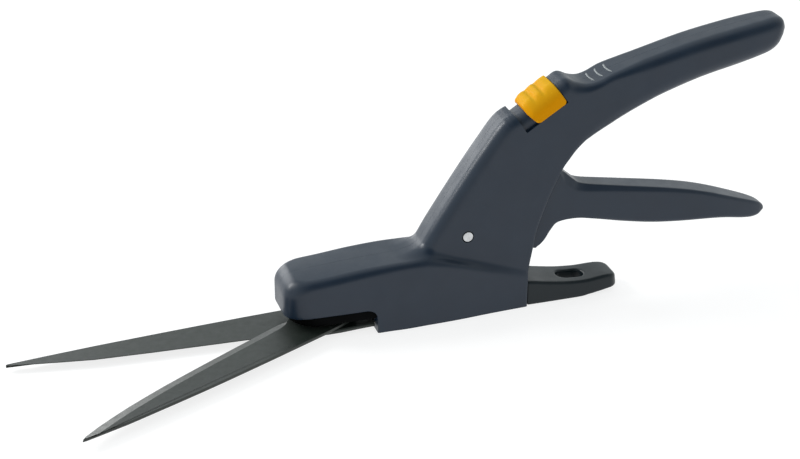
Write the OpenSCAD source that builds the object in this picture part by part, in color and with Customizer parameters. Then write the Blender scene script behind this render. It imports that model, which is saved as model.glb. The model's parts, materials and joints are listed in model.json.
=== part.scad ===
// One-hand grass shears: two flat blades in line with a raised handle.
// X runs from the blade tips (-) to the handle's end (+), Z is up, and the
// shears lie on z = 0 with the origin at the middle of the flat underside.

/* [Housing] */
// Width of the neck and handle
neck_w = 17.4; // [16.8:0.2:18.4]
// Width of the nose over the blades
nose_w = 28; // [27.6:0.2:29]
// Wall thickness of the two half shells
wall = 2.2; // [2:0.1:2.4]
// Height of the nose's open underside
nose_z = 10.3; // [10.3:0.1:10.8]

/* [Blades] */
// Length of the upper blade from its pivot to its tip
blade_l = 127.5; // [110:0.5:140]
// Thickness of each blade
blade_t = 1.5; // [1.2:0.1:1.5]
// Angle between the blades when open
open_a = 33; // [28:1:33]
// Turn of the upper blade from open to closed
swing_a = 32; // [24:1:32]
// Radius of the pivot bolt
bolt_r = 3; // [2.8:0.1:3]

/* [Trigger] */
// Width of the squeeze lever
trigger_w = 11.6; // [11:0.2:12]
// Radius of the trigger's cross pin
pin_r = 2.4; // [2:0.1:2.6]
// Turn of the trigger from open to closed
squeeze_a = 22; // [16:1:22]

/* [Lock] */
// Travel of the thumb slide
lock_travel = 4; // [3:0.5:4]
// Width of the thumb slide over its two wings
slide_w = 18.8; // [18.4:0.2:19.4]

/* [Tail] */
// Length of the tail behind the housing
tail_l = 42; // [38:1:46]
// Width of the hang slot
hang_w = 7; // [6:0.5:8]
// Length of the hang slot
hang_l = 12; // [10:0.5:13]

/* [Hidden] */
$fn = 48;
e = 0.01;

neck_h = neck_w / 2;
nose_h = nose_w / 2;
far = 300;

// Blade pivot and trigger pin
pivot_x = -52;
pin_x = 7.4;
pin_z = 34.9;

// Levels of the stack over the ground: lower blade, upper blade, pull bar
lower_z = 1.7;
upper_z = lower_z + blade_t + 0.1;
spacer_z = upper_z + blade_t;
bar_z = 6.4;
bar_t = 1.5;
pad_z = 6.3;

// Tang pin on the upper blade, as an angle from +X when open
tang_r = 9;
tang_a = 75;
tang_x = pivot_x + tang_r * cos(tang_a);
tang_y = tang_r * sin(tang_a);

// Lever pin in the trigger's fork, symmetric about straight down
fork_l = 11.1;
fork_a = squeeze_a / 2;
lever_x = pin_x - fork_l * sin(fork_a);
lever_z = pin_z - fork_l * cos(fork_a);
small_r = 1.5;

// Rear edge of the cut-out beside the blades, and rear wall of the housing
cut_x = -32;
rear_x = 33;

// Rear end of the lower blade's tang and its two rivets
tang_end = -12.8;
RIVETS = [-26, -17];

// Thumb slide: its lower front corner and its direction
slide_o = [36, 80.3];
slide_a = 33;

spring_x = -7;

// ---- lofts ----------------------------------------------------------------

// Body and nose, by x: half width as a share of the nose's, height of the
// top's middle line, corner radius and drop of the top's edges
BODY = [
  // x, half width share, top, corner, crown
  [-69.2, 0.55, 19.5, 1.5, 0.6],
  [-68.4, 0.7, 21.8, 2.4, 1.4],
  [-66.7, 0.84, 23.4, 3.2, 2.2],
  [-63.5, 0.94, 24.9, 3.8, 2.8],
  [-59, 0.99, 26, 4, 2.6],
  [-50, 1, 26.9, 4, 1.8],
  [-37, 1, 28, 3.6, 1],
  [-22, 0.98, 28.7, 3, 0.5],
  [-12, 0.95, 28.4, 3, 0.5],
  [-4, 0.92, 27, 3, 0.8],
  [5, 0.87, 24.4, 3, 1],
  [14, 0.8, 21.4, 3, 1],
  [24, 0.73, 18.2, 3, 1],
  [32.6, 0.66, 15.6, 3, 1]
];

// Neck and handle: front or top point, rear or under point, half width as a
// share of the neck's, and how square the section is
NECK = [
  // front x, z, rear x, z, width share, squareness
  [-24, 4, 33, -6, 1, 7],
  [-20, 20, 33.6, 12, 1, 7],
  [-11.8, 31.2, 35.6, 24.6, 1, 7],
  [-6.2, 40.4, 37.6, 34.8, 1, 7],
  [4.8, 57.2, 42.4, 48.2, 1, 6.5],
  [14.8, 71.6, 47.4, 58.6, 1, 6],
  [22.8, 82, 51, 63.2, 1, 5.5],
  [34, 88, 53.8, 66.2, 1, 5],
  [44, 94.8, 57.4, 69, 1, 4.5],
  [48.4, 97.2, 59.6, 70.2, 1, 4],
  [53, 95.1, 62, 71.4, 1, 3.4],
  [57.5, 94, 64.8, 72.8, 1, 3],
  [62, 94.8, 68.4, 74.8, 1, 2.8],
  [67.4, 97.2, 73, 77.4, 1.02, 2.7],
  [76, 100, 81, 81.4, 1.03, 2.7],
  [87, 103.2, 91.6, 86, 1.03, 2.7],
  [103, 107.4, 107, 91.1, 1.02, 2.7],
  [120, 110.8, 122.6, 95.2, 1, 2.7],
  [133, 112.9, 134.4, 98.4, 0.97, 2.7],
  [140, 113.5, 140.4, 100.2, 0.88, 2.6],
  [143, 112.3, 142.6, 102, 0.66, 2.4],
  [144, 109.8, 143.8, 105.2, 0.25, 2.2]
];

function body_half(w, top, corner, crown) = [
  for (a = [0:15:90])
    let (y = w - corner + corner * cos(a))
      [y, top - crown * pow(y / w, 2) - corner * (1 - sin(a))]
];

function body_ring(s, inset, base) =
  let (
    w = s[1] * nose_h - inset,
    half = concat(
      [[w, base]],
      body_half(w, s[2] - inset, max(s[3] - inset / 2, 0.8), s[4]),
      [[w * 0.35, s[2] - inset - s[4] * 0.12]]
    )
  )
  concat(
    [for (p = half) [s[0], p[0], p[1]]],
    [[s[0], 0, s[2] - inset]],
    [for (i = [len(half) - 1:-1:0]) [s[0], -half[i][0], half[i][1]]]
  );

function power(c, n) = sign(c) * pow(abs(c), 2 / n);

function neck_ring(s, inset) =
  let (
    front = [s[0], s[1]],
    rear = [s[2], s[3]],
    mid = (front + rear) / 2,
    half = norm(front - rear) / 2,
    up = (front - rear) / (2 * half)
  )
  [
    for (a = [0:15:345])
      let (
        y = (neck_h * s[4] - inset) * power(cos(a), s[5]),
        v = (half - inset) * power(sin(a), s[5])
      )
        [mid[0] + up[0] * v, y, mid[1] + up[1] * v]
  ];

module skin(rings) {
  n = len(rings[0]);
  last = (len(rings) - 1) * n;
  polyhedron(
    points = [for (ring = rings) each ring],
    faces = concat(
      [[for (i = [0:n - 1]) i]],
      [[for (i = [n - 1:-1:0]) last + i]],
      [
        for (r = [0:len(rings) - 2], i = [0:n - 1])
          let (a = r * n + i, b = r * n + (i + 1) % n)
            [a, a + n, b]
      ],
      [
        for (r = [0:len(rings) - 2], i = [0:n - 1])
          let (a = r * n + i, b = r * n + (i + 1) % n)
            [a + n, b + n, b]
      ]
    )
  );
}

module body_loft(inset) {
  first = inset > 0 ? 2 : 0;
  skin([for (i = [first:len(BODY) - 1]) body_ring(BODY[i], inset, -8 - inset)]);
}

module neck_loft(inset) {
  last = inset > 0 ? len(NECK) - 4 : len(NECK) - 1;
  skin([for (i = [0:last]) neck_ring(NECK[i], inset)]);
}

// ---- helpers --------------------------------------------------------------

// A cylinder along Y about a point of the XZ plane
module cross(x, z, r, y0, y1)
  translate([x, y0, z]) rotate([-90, 0, 0]) cylinder(r = r, h = y1 - y0);

// A side view, in X and Z, between two planes of Y
module side(points, y0, y1)
  translate([0, y1, 0]) rotate([90, 0, 0]) linear_extrude(y1 - y0) polygon(points);

// Moves children from the slide's own axes, along and above its travel
module on_slide()
  translate([slide_o[0], 0, slide_o[1]]) rotate([0, -slide_a, 0]) children();

// ---- housing --------------------------------------------------------------

// Screws that close the two half shells, in X and Z
SCREWS = [[-39, 18.5], [25, 6], [55, 83.5], [92, 96.5], [122, 103.6]];
screw_r = 1.5;
boss_r = 3.4;

module cutout() {
  translate([-far, -far / 2, -far + nose_z]) cube([far + cut_x - 4, far, far]);
  translate([cut_x - 10, -far / 2, -20]) cube([10, far, 20 + nose_z - 4]);
  cross(cut_x - 4, nose_z - 4, 4, -far / 2, far / 2);
}

// Path of the trigger out of the back of the neck
module trigger_way()
  side([[14, 23.6], [60, 23.6], [60, 60], [66.5, 74.4], [60, 79], [42, 75], [14, 56]], -6.4, 6.4);

// Room for the slide and its wings, and the slot for its stem
module slide_way() on_slide() {
  translate([-5.6, -20, 6]) cube([21.4, 40, 12]);
  for (s = [-1, 1])
    translate([-5.6, s > 0 ? 7.8 : -17.8, -0.3]) cube([21.4, 10, 12]);
  translate([-2.4, -2.6, 1.6]) cube([13.4, 5.2, 8]);
}

module bosses()
  for (p = SCREWS) cross(p[0], p[1], boss_r, -20, 20);

// Ribs that the leaf spring of the lock is held between
module leaf_ribs() on_slide()
  for (u = [-3.5, 11.5])
    translate([u, -7.5, -2.6]) cube([2.4, 4.6, 2.6]);

module cavity() difference() {
  union() {
    body_loft(wall);
    neck_loft(wall);
  }
  bosses();
  leaf_ribs();
}

module shell() difference() {
  union() {
    body_loft(0);
    neck_loft(0);
  }
  cavity();
  cutout();
  translate([-far, -far / 2, -far]) cube([2 * far, far, far]);
  translate([16, -6.5, -1]) cube([20, 13, 12.6]);
  trigger_way();
  slide_way();
  cross(pin_x, pin_z, pin_r, -20, 20);
  cross(pin_x, pin_z, 4.2, neck_h - 1.3, 20);
}

module housing_near() color("#3c434d") difference() {
  intersection() {
    shell();
    translate([-far, -far, -1]) cube([2 * far, far, far]);
  }
  for (p = SCREWS) cross(p[0], p[1], screw_r, -6, 1);
}

module housing_far() color("#3c434d") difference() {
  intersection() {
    shell();
    translate([-far, 0, -1]) cube([2 * far, far, far]);
  }
  for (p = SCREWS) {
    cross(p[0], p[1], screw_r, -1, 20);
    cross(p[0], p[1], 2.8, 5, 20);
  }
}

// ---- chassis --------------------------------------------------------------

// Radius of the tail's round end and middle of its hang slot
tail_r = 7.4;
tail_x = rear_x + tail_l;
hang_x = tail_x - 19.7;

// Plan of the floor and side rails inside the housing, by half width
module floor_plan(w0, w1)
  polygon([[cut_x + 0.6, -w0], [rear_x + 0.2, -w1], [rear_x + 0.2, w1], [cut_x + 0.6, w0]]);

module tail() intersection() {
  side([
    [20, 0], [54, 0], [62, 0.5], [tail_x, 2], [tail_x, 7.6],
    [68, 7.7], [60, 7.5], [52, 7.9], [43, 9.2], [rear_x, 10.8], [20, 10.8]
  ], -10, 10);
  linear_extrude(20) union() {
    polygon([
      [20, -6.2], [rear_x + 0.8, -6.2], [rear_x + 0.8, -8.8], [56, -8.3], [64, -7.4],
      [64, 7.4], [56, 8.3], [rear_x + 0.8, 8.8], [rear_x + 0.8, 6.2], [20, 6.2]
    ]);
    translate([tail_x - tail_r, 0]) circle(tail_r);
    translate([60, -tail_r]) square([tail_x - tail_r - 60, 2 * tail_r]);
  }
}

module hang_slot() {
  mid = (hang_l - hang_w) / 2;
  for (s = [-1, 1])
    translate([hang_x + s * mid, 0, -1]) cylinder(r = hang_w / 2, h = 20);
  translate([hang_x - mid, -hang_w / 2, -1]) cube([2 * mid, hang_w, 20]);
}

// Pad over the blades: an arc about the pivot, then straight back to the rails
module pad_plan() {
  intersection() {
    translate([pivot_x, 0]) circle(14.6);
    translate([-80, -13.2]) square([50, 26.4]);
  }
  translate([pivot_x, -13.2]) square([cut_x - 0.2 - pivot_x, 26.4]);
  translate([pivot_x, -11.2]) square([cut_x + 0.6 - pivot_x + e, 22.4]);
}

module chassis() color("#2b3236") difference() {
  union() {
    linear_extrude(1.4) floor_plan(11.2, 6.2);
    // rails along both side walls, up to the pad
    intersection() {
      linear_extrude(nose_z - 0.1) floor_plan(11.2, 6.2);
      for (s = [-1, 1])
        translate([-40, s > 0 ? 7.6 : -17.6, 0]) cube([33, 10, 12]);
    }
    translate([0, 0, pad_z]) linear_extrude(nose_z - 0.1 - pad_z) pad_plan();
    // bridge over the pull bar, with the spring's post
    translate([cut_x, -7.8, pad_z]) cube([25, 15.6, nose_z - 0.1 - pad_z]);
    translate([spring_x - 4.8, -7.8, 8.3]) cube([9.6, 15.6, 1.9]);
    for (s = [-1, 1])
      translate([spring_x - 4.8, s > 0 ? 6.2 : -7.8, 1]) cube([9.6, 1.6, 9.2]);
    translate([spring_x, 0, 10]) cylinder(r = 2.2, h = 5);
    tail();
  }
  hang_slot();
  // channel of the pull bar
  translate([-58, 3.4, pad_z - e]) cube([28, 20, 1.9]);
  translate([-44, -3.4, pad_z - e]) cube([45, 6.9, 1.9]);
  translate([pivot_x, 0, 0]) cylinder(r = bolt_r, h = 20);
  for (x = RIVETS)
    translate([x, 0, -1]) cylinder(r = 2, h = 5);
  for (x = RIVETS)
    translate([x, 0, -1]) cylinder(r = 3.2, h = 1.6);
  cross(SCREWS[1][0], SCREWS[1][1], boss_r + 0.1, -20, 20);
}

// ---- blades ---------------------------------------------------------------

// How far the ground edge of each blade reaches in from its cutting edge
ground_w = 2.6;

// Plan of the lower blade: the near side is its cutting edge, ground from below
module lower_plan(inset) polygon([
  [-178.6, -2.4 + inset * 0.1], [-172, -4 + inset * 0.7], [-145, -8.1 + inset], [-100, -9.5 + inset],
  [-66, -10 + inset], [-60, -11.8], [-52, -12.5], [-42, -11.7], [cut_x - 0.4, -10.7],
  [cut_x - 0.4, -7.2], [tang_end, -7.2], [tang_end, 7.2], [cut_x - 0.4, 7.2], [cut_x - 0.4, 10.7],
  [-42, 11.7], [-52, 12.5], [-66, 11.4], [-100, 8.2], [-143, 3.4], [-178, -1.6]
]);

module lower_blade() color("#55595a") translate([0, 0, lower_z]) difference() {
  union() {
    linear_extrude(blade_t) lower_plan(ground_w);
    translate([0, 0, blade_t / 2]) linear_extrude(blade_t / 2) lower_plan(0);
  }
  translate([pivot_x, 0, -1]) cylinder(r = bolt_r, h = 5);
  for (x = RIVETS)
    translate([x, 0, -1]) cylinder(r = 2, h = 5);
}

// Plan of the upper blade along its own length from the pivot: the cutting
// edge is on the left, ground from above
module upper_plan(inset) polygon([
  [blade_l - 1.6, 1.2], [blade_l - 3.4, 2.6 - inset * 0.6], [116, 4.2 - inset * 0.8],
  [100, 6.2 - inset], [80, 7.5 - inset], [56, 8.1 - inset], [13, 8.4 - inset], [10.4, 6.6],
  [0, 8], [-9, -2], [-8.6, -11.8], [9, -12.1], [13, -11.8], [40, -9.9], [60, -8.3],
  [85, -5.8], [108, -3.1], [blade_l - 2, 0]
]);

module upper_blade() color("#55595a") translate([0, 0, upper_z]) difference() {
  union() {
    translate([pivot_x, 0, 0]) rotate([0, 0, open_a]) mirror([1, 0, 0]) {
      linear_extrude(blade_t / 2) upper_plan(0);
      linear_extrude(blade_t) upper_plan(ground_w);
    }
    translate([pivot_x, 0, 0]) cylinder(r = 12.4, h = blade_t);
  }
  translate([pivot_x, 0, -1]) cylinder(r = bolt_r + 0.05, h = 5);
  translate([tang_x, tang_y, -1]) cylinder(r = small_r, h = 5);
}

module tang_pin() color("#b9bcbd") translate([tang_x, tang_y, 0]) {
  translate([0, 0, upper_z]) cylinder(r = small_r, h = bar_z + bar_t + 0.1 - upper_z);
}

// ---- pivot ----------------------------------------------------------------

nut_z = nose_z + 1.1;

module pivot_bolt() color("#b9bcbd") translate([pivot_x, 0, 0]) {
  translate([0, 0, 0.2]) cylinder(r = 6, h = lower_z - 0.2);
  translate([0, 0, lower_z - e]) cylinder(r = bolt_r, h = 15.5 - lower_z);
}

module pivot_nut() color("#b9bcbd") translate([pivot_x, 0, nut_z]) difference() {
  cylinder(r = 5.5, h = 3.2, $fn = 6);
  translate([0, 0, -1]) cylinder(r = bolt_r, h = 6);
}

module pivot_washer() color("#8d9192") translate([pivot_x, 0, nose_z - 0.1]) difference() {
  cylinder(r = 6, h = 1.1);
  translate([0, 0, -1]) cylinder(r = bolt_r, h = 4);
}

module pivot_spacer() color("#e8e6de") translate([pivot_x, 0, spacer_z + 0.05]) difference() {
  cylinder(r = 6.5, h = pad_z - spacer_z - 0.05);
  translate([0, 0, -1]) cylinder(r = bolt_r, h = 4);
}

module blade_rivets() color("#8d9192")
  for (x = RIVETS) translate([x, 0, 0]) {
    translate([0, 0, 0.3]) cylinder(r = 3.2, h = 0.3);
    translate([0, 0, 0.5]) cylinder(r = 2, h = lower_z + blade_t - 0.2);
    translate([0, 0, lower_z + blade_t]) cylinder(r = 3.2, h = 0.9);
  }

// ---- pull bar -------------------------------------------------------------

module pull_bar() color("#8d9192") difference() {
  union() {
    translate([0, 0, bar_z]) linear_extrude(bar_t) polygon([
      [tang_x - 3.6, 3.8], [-43.5, 3.8], [-37, -3], [lever_x + 5, -3], [lever_x + 5, 3],
      [-36, 3], [-44.5, 12], [tang_x - 3.6, 12]
    ]);
    translate([lever_x - 4.8, -0.8, bar_z]) cube([9.6, 1.6, lever_z + 3.2 - bar_z]);
  }
  // slot across for the tang pin
  translate([tang_x - small_r - 0.3, 4.6, 0]) cube([2 * small_r + 0.6, 6, 20]);
  // upright slot for the lever pin
  translate([lever_x - small_r - 0.05, -5, lever_z - small_r - 0.6])
    cube([2 * small_r + 0.1, 10, 2 * small_r + 0.9]);
}

module lever_pin() color("#b9bcbd") cross(lever_x, lever_z, small_r, -4.6, 4.6);

// ---- trigger --------------------------------------------------------------

trigger_h = trigger_w / 2;

module trigger() color("#3c434d") difference() {
  union() {
    // hand lever and the root inside the neck
    side([
      [14, 30], [35.6, 24.6], [38.6, 24.8], [42, 27.3], [44.8, 31.4], [47.8, 34.2],
      [55.6, 34.8], [64, 33.4], [77, 30.6], [90, 28.4], [103, 27.2], [120.6, 26.3],
      [132, 24.7], [137.6, 24.7], [141.4, 26.2], [141.6, 27.4], [138.3, 30.2],
      [127.2, 34.6], [111.6, 39.8], [96.3, 43.2], [74, 47], [58.5, 49.8],
      [54, 52.4], [48.6, 56.8], [44, 56], [34, 45], [14, 41]
    ], -trigger_h, trigger_h);
    cross(pin_x, pin_z, 6.4, -trigger_h, trigger_h);
    side([[7, 30], [16, 30], [16, 41.2], [7, 41.2]], -trigger_h, trigger_h);
    // front arm over the return spring
    side([[8, 28.8], [-11, 25.4], [-11, 28], [-8, 29.6], [4, 40.4], [8, 40.4]], -4, 4);
    // fork for the lever pin
    for (s = [-1, 1])
      side([[2, 24], [2.4, 22], [5.3, 20.8], [8.2, 22], [8.6, 24], [12, 33], [2, 33]],
        s > 0 ? 1.5 : -4.6, s > 0 ? 4.6 : -1.5);
    // horn that the lock catches
    side([[9, 39], [19.4, 55.6], [21.2, 54.4], [19, 44], [20, 40]], -2, 2);
  }
  cross(pin_x, pin_z, pin_r + 0.05, -20, 20);
  cross(lever_x, lever_z, small_r, -20, 20);
  // slot that the pull bar's ear swings in
  translate([-1, -1.3, 20]) cube([16, 2.6, 10]);
}

module trigger_pin() color("#dfe2e3") cross(pin_x, pin_z, pin_r, -neck_h - 0.1, neck_h - 0.2);

module pin_clip() color("#8d9192") difference() {
  cross(pin_x, pin_z, 4, neck_h - 1.3, neck_h - 0.6);
  cross(pin_x, pin_z, pin_r, 0, 20);
}

// Coil between the chassis post and the trigger's arm
module return_spring() color("#a9acad") {
  coils = 6;
  coil_r = 3.1;
  wire_r = 0.45;
  low = 10.2 + wire_r;
  high = 25.9 - wire_r;
  steps = coils * 16;
  skin([
    for (i = [0:steps])
      let (
        a = -i * 360 / 16,
        z = low + (high - low) * i / steps,
        out = [cos(a), sin(a), 0]
      )
        [
          for (k = [0:60:300])
            [spring_x, 0, z] + out * (coil_r + wire_r * cos(k)) + [0, 0, wire_r * sin(k)]
        ]
  ]);
}

// ---- lock -----------------------------------------------------------------

module lock_slider() color("#f5b01a") on_slide() {
  half = slide_w / 2;
  difference() {
    side([
      [-1.4, 4.6], [-1.2, 6.8], [0, 7.5], [3.2, 8], [6.8, 8.4], [9.4, 8], [12, 8.2],
      [13.2, 6.4], [14.4, 0.2], [0, 0.2]
    ], -half, half);
    translate([-5, -8, -5]) cube([30, 16, 11.2]);
  }
  translate([3.4, -2.2, 2.4]) cube([5, 4.4, 4.4]);
}

module lock_rod() color("#8d9192")
  side([
    [17.9, 56.8], [21.2, 56.8], [38, 80], [42, 82.5], [42.8, 86.1], [38.4, 83.8],
    [34.4, 81.6]
  ], -1.9, 1.9);

module lock_spring() color("#a9acad") on_slide()
  side([[-3.4, 0.1], [1.5, 0.1], [3, 0.7], [4.5, 0.1], [13, 0.1], [13, 0.5], [4.6, 0.5],
    [3, 1.1], [1.4, 0.5], [-3.4, 0.5]], -6.3, -3.2);

// ---- screws ---------------------------------------------------------------

module housing_screws() color("#8d9192")
  for (p = SCREWS) difference() {
    union() {
      cross(p[0], p[1], screw_r, -5.8, 5.1);
      cross(p[0], p[1], 2.7, 5, 6.9);
    }
    translate([p[0] - 2, 6.2, p[1] - 0.35]) cube([4, 2, 0.7]);
    translate([p[0] - 0.35, 6.2, p[1] - 2]) cube([0.7, 2, 4]);
  }

housing_near();
housing_far();
chassis();
lower_blade();
upper_blade();
pivot_bolt();
pivot_nut();
pivot_washer();
pivot_spacer();
tang_pin();
pull_bar();
trigger();
trigger_pin();
pin_clip();
lever_pin();
return_spring();
lock_slider();
lock_rod();
lock_spring();
housing_screws();
blade_rivets();
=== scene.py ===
"""One-hand grass shears: two flat blades, a raised handle, a squeeze trigger and a thumb lock."""

import json
import math

import bmesh
import bpy
import numpy as np
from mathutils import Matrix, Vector
from mathutils.bvhtree import BVHTree


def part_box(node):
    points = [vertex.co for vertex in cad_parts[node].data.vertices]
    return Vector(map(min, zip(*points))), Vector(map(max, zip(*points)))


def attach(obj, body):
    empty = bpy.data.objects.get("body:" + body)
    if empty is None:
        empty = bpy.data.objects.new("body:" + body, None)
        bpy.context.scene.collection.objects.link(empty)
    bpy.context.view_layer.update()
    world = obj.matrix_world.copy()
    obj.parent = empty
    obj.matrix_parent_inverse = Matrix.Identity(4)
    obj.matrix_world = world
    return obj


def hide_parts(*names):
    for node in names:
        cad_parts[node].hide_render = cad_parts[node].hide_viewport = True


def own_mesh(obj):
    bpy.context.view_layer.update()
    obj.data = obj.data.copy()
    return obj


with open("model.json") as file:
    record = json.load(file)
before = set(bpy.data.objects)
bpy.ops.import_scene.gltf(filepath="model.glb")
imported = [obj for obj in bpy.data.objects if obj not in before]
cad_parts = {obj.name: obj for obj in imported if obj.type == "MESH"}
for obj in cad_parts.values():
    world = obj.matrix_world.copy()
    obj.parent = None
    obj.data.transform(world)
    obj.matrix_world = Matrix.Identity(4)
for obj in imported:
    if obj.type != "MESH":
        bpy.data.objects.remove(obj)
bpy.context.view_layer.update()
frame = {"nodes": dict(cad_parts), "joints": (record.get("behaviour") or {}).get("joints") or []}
JOINTS = {joint["name"]: joint for joint in frame["joints"]}
MM = 0.001

# ---- shape tools: fields in millimetres, negative inside -------------------


def spline(points, steps=6, closed=True):
    """Smooth curve through given points."""
    p = np.array(points, float)
    n = len(p)
    out = []
    for i in range(n if closed else n - 1):
        if closed:
            a, b, c, d = p[(i - 1) % n], p[i], p[(i + 1) % n], p[(i + 2) % n]
        else:
            a, b, c, d = p[max(i - 1, 0)], p[i], p[i + 1], p[min(i + 2, n - 1)]
        bend = 2 * a - 5 * b + 4 * c - d
        twist = 3 * b - a - 3 * c + d
        for k in range(steps):
            t = k / steps
            out.append(0.5 * (2 * b + (c - a) * t + bend * t**2 + twist * t**3))
    if not closed:
        out.append(p[-1])
    return np.array(out)


def curve_at(points, x):
    """Height of a smooth curve through (x, height) points, at x."""
    line = spline(points, 8, closed=False)
    return np.interp(x, line[:, 0], line[:, 1])


def smooth(low, high, x):
    """Eases from 0 at low to 1 at high."""
    t = np.clip((x - low) / (high - low), 0, 1)
    return t * t * (3 - 2 * t)


def mix(a, b, t):
    """Goes from a to b as t goes from 0 to 1."""
    return a + (b - a) * t


def chain_distance(points, u, v, closed=False):
    """Distance to a line through points."""
    p = np.array(points, float)
    q = np.roll(p, -1, axis=0)
    if not closed:
        p, q = p[:-1], q[:-1]
    best = np.full(np.broadcast(u, v).shape, 1e9)
    for (ax, ay), (bx, by) in zip(p, q):
        ex, ey = bx - ax, by - ay
        t = np.clip(((u - ax) * ex + (v - ay) * ey) / max(ex * ex + ey * ey, 1e-9), 0, 1)
        best = np.minimum(best, (u - ax - ex * t) ** 2 + (v - ay - ey * t) ** 2)
    return np.sqrt(best)


def outline_distance(points, u, v):
    """Signed distance to a closed outline."""
    p = np.array(points, float)
    inside = np.zeros(np.broadcast(u, v).shape, bool)
    for (ax, ay), (bx, by) in zip(p, np.roll(p, -1, axis=0)):
        if ay != by:
            inside ^= ((ay > v) != (by > v)) & (u < ax + (bx - ax) * (v - ay) / (by - ay))
    d = chain_distance(p, u, v, closed=True)
    return np.where(inside, -d, d)


def meet(a, b, r):
    """Both shapes at once, with the edge between them rounded to r."""
    return np.minimum(np.maximum(a, b), -r) + np.hypot(np.maximum(a + r, 0), np.maximum(b + r, 0))


def join(a, b, r):
    """Either shape, with a fillet of r between them."""
    return np.maximum(np.minimum(a, b), r) - np.hypot(np.maximum(r - a, 0), np.maximum(r - b, 0))


def back(value, slope, most):
    """The move that takes points to where a field is zero, no further than most."""
    size = np.maximum((slope**2).sum(1), 0.2)
    return -slope * np.clip(value / size, -most, most)[:, None]


class Spots:
    """Loose points that a form is worked out at."""

    def __init__(self, points):
        self.x, self.y, self.z = points.T


class Grid:
    """Sample points of a box, and the mesh of any field on them."""

    ROUNDS = 4
    PULL = 0.6

    def __init__(self, low, high, step):
        self.step = step
        axes = [np.arange(a - step, b + 1.5 * step, step) for a, b in zip(low, high)]
        self.low = np.array([axis[0] for axis in axes])
        self.x = axes[0][:, None, None]
        self.y = axes[1][None, :, None]
        self.z = axes[2][None, None, :]

    def sample(self, field, points):
        """Value and slope of the field at points, from the eight samples around each."""
        p = (points - self.low) / self.step
        i = np.clip(np.floor(p).astype(int), 0, np.array(field.shape) - 2)
        f = p - i
        value = 0
        slope = np.zeros_like(points)
        for k in range(8):
            o = np.array([k & 1, k >> 1 & 1, k >> 2 & 1])
            w = np.where(o, f, 1 - f)
            s = np.where(o, 1.0, -1.0)
            g = field[i[:, 0] + o[0], i[:, 1] + o[1], i[:, 2] + o[2]]
            value = value + g * w[:, 0] * w[:, 1] * w[:, 2]
            slope[:, 0] += g * s[0] * w[:, 1] * w[:, 2]
            slope[:, 1] += g * s[1] * w[:, 0] * w[:, 2]
            slope[:, 2] += g * s[2] * w[:, 0] * w[:, 1]
        return value, slope / self.step

    def surface(self, field, form=None):
        """Vertices and quads of the field's zero surface, set exactly on the form that it samples."""
        shape = (self.x.size, self.y.size, self.z.size)
        field = np.ascontiguousarray(np.broadcast_to(field, shape), float)
        points, quads = self.net(field)
        points = self.relaxed(points, quads, field)
        for _ in range(2 if form else 0):
            slope = self.sample(field, points)[1]
            points = points + back(form(Spots(points)), slope, 0.2)
        return points, quads

    def net(self, field):
        """One vertex in each cell that the surface passes, and a quad across each crossed edge."""
        n = np.array(field.shape) - 1
        count = np.zeros(n)
        total = np.zeros((3, *n))
        crossings = []
        for axis in range(3):
            o1, o2 = (axis + 1) % 3, (axis + 2) % 3
            first = [slice(None)] * 3
            second = [slice(None)] * 3
            first[axis], second[axis] = slice(0, -1), slice(1, None)
            a, b = field[tuple(first)], field[tuple(second)]
            cross = (a < 0) != (b < 0)
            t = np.where(cross, a / np.where(cross, a - b, 1), 0)
            crossings.append((cross, a < 0))
            for s1 in (0, 1):
                for s2 in (0, 1):
                    part = [slice(None)] * 3
                    part[o1], part[o2] = slice(s1, n[o1] + s1), slice(s2, n[o2] + s2)
                    c = cross[tuple(part)]
                    # s1 and s2 say which of the cell's four parallel edges is crossed
                    count += c
                    total[axis] += t[tuple(part)]
                    total[o1] += c * s1
                    total[o2] += c * s2
        used = count > 0
        index = np.cumsum(used.ravel()).reshape(used.shape) - 1
        cells = np.argwhere(used)
        points = self.low + self.step * (cells + (total[:, used] / count[used]).T)
        quads = []
        for axis in range(3):
            o1, o2 = (axis + 1) % 3, (axis + 2) % 3
            cross, low_inside = crossings[axis]
            part = [slice(None)] * 3
            part[o1], part[o2] = slice(1, n[o1]), slice(1, n[o2])
            at = np.argwhere(cross[tuple(part)])
            inner = low_inside[tuple(part)][tuple(at.T)]
            at[:, o1] += 1
            at[:, o2] += 1
            corners = []
            for s1, s2 in ((1, 1), (0, 1), (0, 0), (1, 0)):
                c = at.copy()
                c[:, o1] -= s1
                c[:, o2] -= s2
                corners.append(index[tuple(c.T)])
            quad = np.stack(corners, 1)
            quad[~inner] = quad[~inner][:, ::-1]
            quads.append(quad)
        return points, np.concatenate(quads)

    def relaxed(self, points, quads, field):
        """Evens out the vertices and keeps them on the surface."""
        ends = np.concatenate([quads[:, [k, (k + 1) % 4]] for k in range(4)])
        n = len(points)
        degree = np.bincount(ends[:, 0], minlength=n) + np.bincount(ends[:, 1], minlength=n)
        for _ in range(self.ROUNDS):
            near = np.zeros_like(points)
            for k in range(3):
                near[:, k] = np.bincount(ends[:, 0], points[ends[:, 1], k], n)
                near[:, k] += np.bincount(ends[:, 1], points[ends[:, 0], k], n)
            points = mix(points, near / degree[:, None], self.PULL)
            for _ in range(2):
                value, slope = self.sample(field, points)
                points = points + back(value, slope, self.step)
        return points


# ---- mesh tools --------------------------------------------------------------


def piece(name, points, faces):
    """A mesh object from points in millimetres."""
    mesh = bpy.data.meshes.new(name)
    points = np.asarray(points, float) * MM
    faces = faces.tolist() if isinstance(faces, np.ndarray) else faces
    mesh.from_pydata(points.tolist(), [], faces)
    mesh.validate()
    mesh.update()
    made = bpy.data.objects.new(name, mesh)
    bpy.context.scene.collection.objects.link(made)
    return made


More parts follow.
